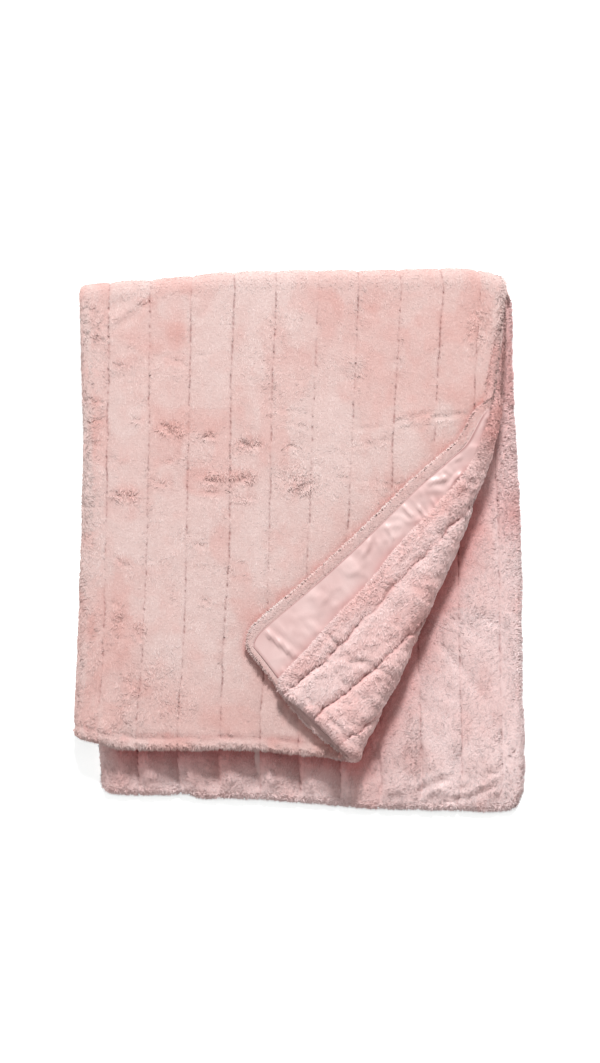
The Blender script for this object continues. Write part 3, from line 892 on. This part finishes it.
for nm, cnt, wt, sd in (("Pile_Front_A", 42000, w_front, 11), ("Pile_Front_B", 42000, w_front, 12),
                        ("Pile_Corner", 35000, w_corner, 13), ("Pile_Back", 46500, w_back, 14)):
    pile.append(tufts(nm, int(cnt * k_t), wt * density, sd))


# =====================================================================================================================
# Materials
# =====================================================================================================================
def srgb(r, g, b):
    f = lambda q: (q / 255 / 12.92) if q / 255 <= 0.04045 else ((q / 255 + 0.055) / 1.055) ** 2.4
    return (f(r), f(g), f(b), 1.0)


def mix_node(nt, blend, a, b, factor):
    """A colour mix; each input is a socket, a colour or a number."""
    n = nt.nodes.new("ShaderNodeMix")
    n.data_type, n.blend_type = "RGBA", blend
    for slot, val in ((0, factor), (6, a), (7, b)):
        if isinstance(val, (tuple, float, int)):
            n.inputs[slot].default_value = val
        else:
            nt.links.new(val, n.inputs[slot])
    return n.outputs[2]


def number(nt, name):
    n = nt.nodes.new("ShaderNodeAttribute")
    n.attribute_name = name
    return n.outputs["Fac"]


def noise(nt, scale, detail, rough_=0.5):
    tex = nt.nodes.new("ShaderNodeTexCoord")
    n = nt.nodes.new("ShaderNodeTexNoise")
    n.inputs["Scale"].default_value = scale
    n.inputs["Detail"].default_value = detail
    n.inputs["Roughness"].default_value = rough_
    nt.links.new(tex.outputs["Object"], n.inputs["Vector"])
    return n.outputs["Fac"]


def ramp(nt, source, *stops):
    n = nt.nodes.new("ShaderNodeValToRGB")
    while len(n.color_ramp.elements) < len(stops):
        n.color_ramp.elements.new(0.5)
    for e, (at_, col) in zip(n.color_ramp.elements, stops):
        e.position, e.color = at_, col
    nt.links.new(source, n.inputs["Fac"])
    return n.outputs["Color"]


def grey(v):
    return (v, v, v, 1.0)


def new_material(name):
    mat = bpy.data.materials.new(name)
    mat.use_nodes = True
    mat.node_tree.nodes.clear()
    out = mat.node_tree.nodes.new("ShaderNodeOutputMaterial")
    bsdf = mat.node_tree.nodes.new("ShaderNodeBsdfPrincipled")
    mat.node_tree.links.new(bsdf.outputs["BSDF"], out.inputs["Surface"])
    return mat, mat.node_tree, bsdf


def fur_material(name, tufts_too):
    mat, nt, bsdf = new_material(name)
    bsdf.inputs["Roughness"].default_value = 0.9
    bsdf.inputs["Specular IOR Level"].default_value = 0.12
    bsdf.inputs["Sheen Weight"].default_value = 0.22
    bsdf.inputs["Sheen Roughness"].default_value = 0.5
    bsdf.inputs["Sheen Tint"].default_value = srgb(255, 232, 226)
    base = ramp(nt, number(nt, "tone"), (0.0, srgb(194, 160, 153)), (0.35, srgb(199, 178, 173)), (0.65, srgb(201, 191, 187)),
                (1.0, srgb(207, 203, 200)))
    base = mix_node(nt, "MULTIPLY", base, (1.0, 0.946, 0.944, 1), 1.0)
    lilac = mix_node(nt, "MULTIPLY", base, (1.15, 1.12, 1.15, 1), number(nt, "cool"))
    mott = ramp(nt, noise(nt, 210.0, 3.0), (0.3, (0.96, 0.94, 0.94, 1)), (0.7, grey(1.02)))
    last = mix_node(nt, "MULTIPLY", lilac, mott, 1.0)
    last = mix_node(nt, "MULTIPLY", last, (0.58, 0.45, 0.46, 1), number(nt, "seam"))
    last = mix_node(nt, "MULTIPLY", last, (0.83, 0.455, 0.455, 1), number(nt, "deep"))
    last = mix_node(nt, "MULTIPLY", last, (1.10, 1.15, 1.155, 1), number(nt, "lift"))
    if tufts_too:
        last = mix_node(nt, "MULTIPLY", last, ramp(nt, number(nt, "lock"), (0.0, (0.93, 0.91, 0.91, 1)), (1.0, grey(1.03))), 1.0)
        last = mix_node(nt, "MULTIPLY", last, ramp(nt, number(nt, "tip"), (0.0, (0.83, 0.70, 0.69, 1)), (0.6, (1.01, 0.995, 0.995, 1))), 1.0)
    else:
        last = mix_node(nt, "MULTIPLY", last, (0.90, 0.82, 0.81, 1), 1.0)
        bump = nt.nodes.new("ShaderNodeBump")
        bump.inputs["Strength"].default_value = 0.6
        bump.inputs["Distance"].default_value = 0.0015
        nt.links.new(noise(nt, 330.0, 4.0, 0.6), bump.inputs["Height"])
        nt.links.new(bump.outputs["Normal"], bsdf.inputs["Normal"])
    nt.links.new(last, bsdf.inputs["Base Color"])
    return mat


def satin_material():
    mat, nt, bsdf = new_material("satin_cloth")
    bsdf.inputs["Roughness"].default_value = 0.38
    bsdf.inputs["Specular IOR Level"].default_value = 0.5
    bsdf.inputs["Sheen Weight"].default_value = 0.15
    bsdf.inputs["Sheen Roughness"].default_value = 0.3
    bsdf.inputs["Sheen Tint"].default_value = srgb(255, 240, 236)
    soft = ramp(nt, noise(nt, 24.0, 2.0), (0.3, srgb(195, 170, 167)), (0.7, srgb(207, 188, 185)))
    fine = ramp(nt, noise(nt, 600.0, 2.0), (0.3, grey(0.97)), (0.7, grey(1.0)))
    last = mix_node(nt, "MULTIPLY", soft, fine, 1.0)
    last = mix_node(nt, "MULTIPLY", last, (1.0, 0.946, 0.944, 1), 1.0)
    last = mix_node(nt, "MULTIPLY", last, (0.93, 0.74, 0.74, 1), number(nt, "deep"))
    last = mix_node(nt, "MULTIPLY", last, (0.56, 0.40, 0.40, 1), number(nt, "seam"))
    nt.links.new(last, bsdf.inputs["Base Color"])
    # the satin's fine warp, along the length of the cloth
    tex = nt.nodes.new("ShaderNodeTexCoord")
    weave = nt.nodes.new("ShaderNodeTexWave")
    weave.inputs["Scale"].default_value = 900.0
    weave.inputs["Distortion"].default_value = 1.5
    weave.inputs["Detail"].default_value = 1.0
    nt.links.new(tex.outputs["Object"], weave.inputs["Vector"])
    bump = nt.nodes.new("ShaderNodeBump")
    bump.inputs["Strength"].default_value = 0.10
    bump.inputs["Distance"].default_value = 0.0004
    nt.links.new(weave.outputs["Fac"], bump.inputs["Height"])
    nt.links.new(bump.outputs["Normal"], bsdf.inputs["Normal"])
    return mat


fur_skin, fur_hair, satin_skin = fur_material("fur_backing", False), fur_material("fur_pile", True), satin_material()
fur.data.materials.append(fur_skin)
satin.data.materials.append(satin_skin)
for ob in pile:
    ob.data.materials.append(fur_hair)

for ob in [fur] + pile:
    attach(ob, "root")
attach(satin, "root")
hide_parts("fur_face")
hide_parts("satin_lining")

# =====================================================================================================================
# Stage, light and camera
# =====================================================================================================================
floor_mesh = bpy.data.meshes.new("Floor")
s = 6.0
floor_mesh.from_pydata([(-s, -s, 0), (s, -s, 0), (s, s, 0), (-s, s, 0)], [], [(0, 1, 2, 3)])
floor = bpy.data.objects.new("Floor", floor_mesh)
bpy.context.scene.collection.objects.link(floor)
white = bpy.data.materials.new("plain_floor")
white.use_nodes = True
white.node_tree.nodes["Principled BSDF"].inputs["Base Color"].default_value = (0.93, 0.97, 0.97, 1)
white.node_tree.nodes["Principled BSDF"].inputs["Roughness"].default_value = 0.95
white.node_tree.nodes["Principled BSDF"].inputs["Emission Color"].default_value = (0.889, 1.0, 1.0, 1)
white.node_tree.nodes["Principled BSDF"].inputs["Emission Strength"].default_value = 0.45
white.node_tree.nodes["Principled BSDF"].inputs["Specular IOR Level"].default_value = 0.1
floor_mesh.materials.append(white)

world = bpy.data.worlds.new("Studio")
bpy.context.scene.world = world
world.use_nodes = True
world.node_tree.nodes["Background"].inputs["Color"].default_value = (1.0, 0.84, 0.83, 1)
world.node_tree.nodes["Background"].inputs["Strength"].default_value = 0.43


def area_light(name, at, to, size, power, colour=(1, 1, 1)):
    data = bpy.data.lights.new(name, "AREA")
    data.shape = "RECTANGLE"
    data.size, data.size_y = size
    data.energy = power
    data.color = colour
    ob = bpy.data.objects.new(name, data)
    ob.location = at
    d = np.array(to, float) - np.array(at, float)
    dist = np.linalg.norm(d)
    yaw, pitch = math.atan2(d[1], d[0]), math.acos(-d[2] / dist)
    ob.rotation_euler = (pitch, 0, yaw - math.pi / 2)
    bpy.context.scene.collection.objects.link(ob)
    return ob


area_light("Key", (0.4, 7.4, 5.2), (0, 0, 0), (1.3, 1.0), 1265)
area_light("Side", (-3.4, 0.4, 2.2), (0, 0, 0), (1.8, 1.8), 36)
area_light("Low_Fill", (-1.4, -6.0, 1.35), (0, 0, 0), (3.2, 1.2), 75, (1.0, 0.94, 0.93))
area_light("Right_Fill", (5.0, 0.6, 1.3), (0, 0, 0), (2.4, 1.0), 60, (1.0, 0.94, 0.93))

S = 1.48
centre_x, centre_y = (300 - 299) * S, (539.5 - 531.5) * S
cam_data = bpy.data.cameras.new("Camera")
cam = bpy.data.objects.new("Camera", cam_data)
height, plane = 6.0, 0.040
cam.location = ((centre_x + SHIFT[0]) / 1000, (centre_y + SHIFT[1]) / 1000, height)
cam.rotation_euler = (0, 0, 0)
cam_data.sensor_fit = "VERTICAL"
cam_data.sensor_height = 36.0
cam_data.lens = 36.0 * (height - plane) / (1063 * S / 1000)
cam_data.clip_end = 100
bpy.context.scene.collection.objects.link(cam)
bpy.context.scene.camera = cam
bpy.context.scene.view_settings.view_transform = "Standard"
bpy.context.scene.view_settings.look = "None"
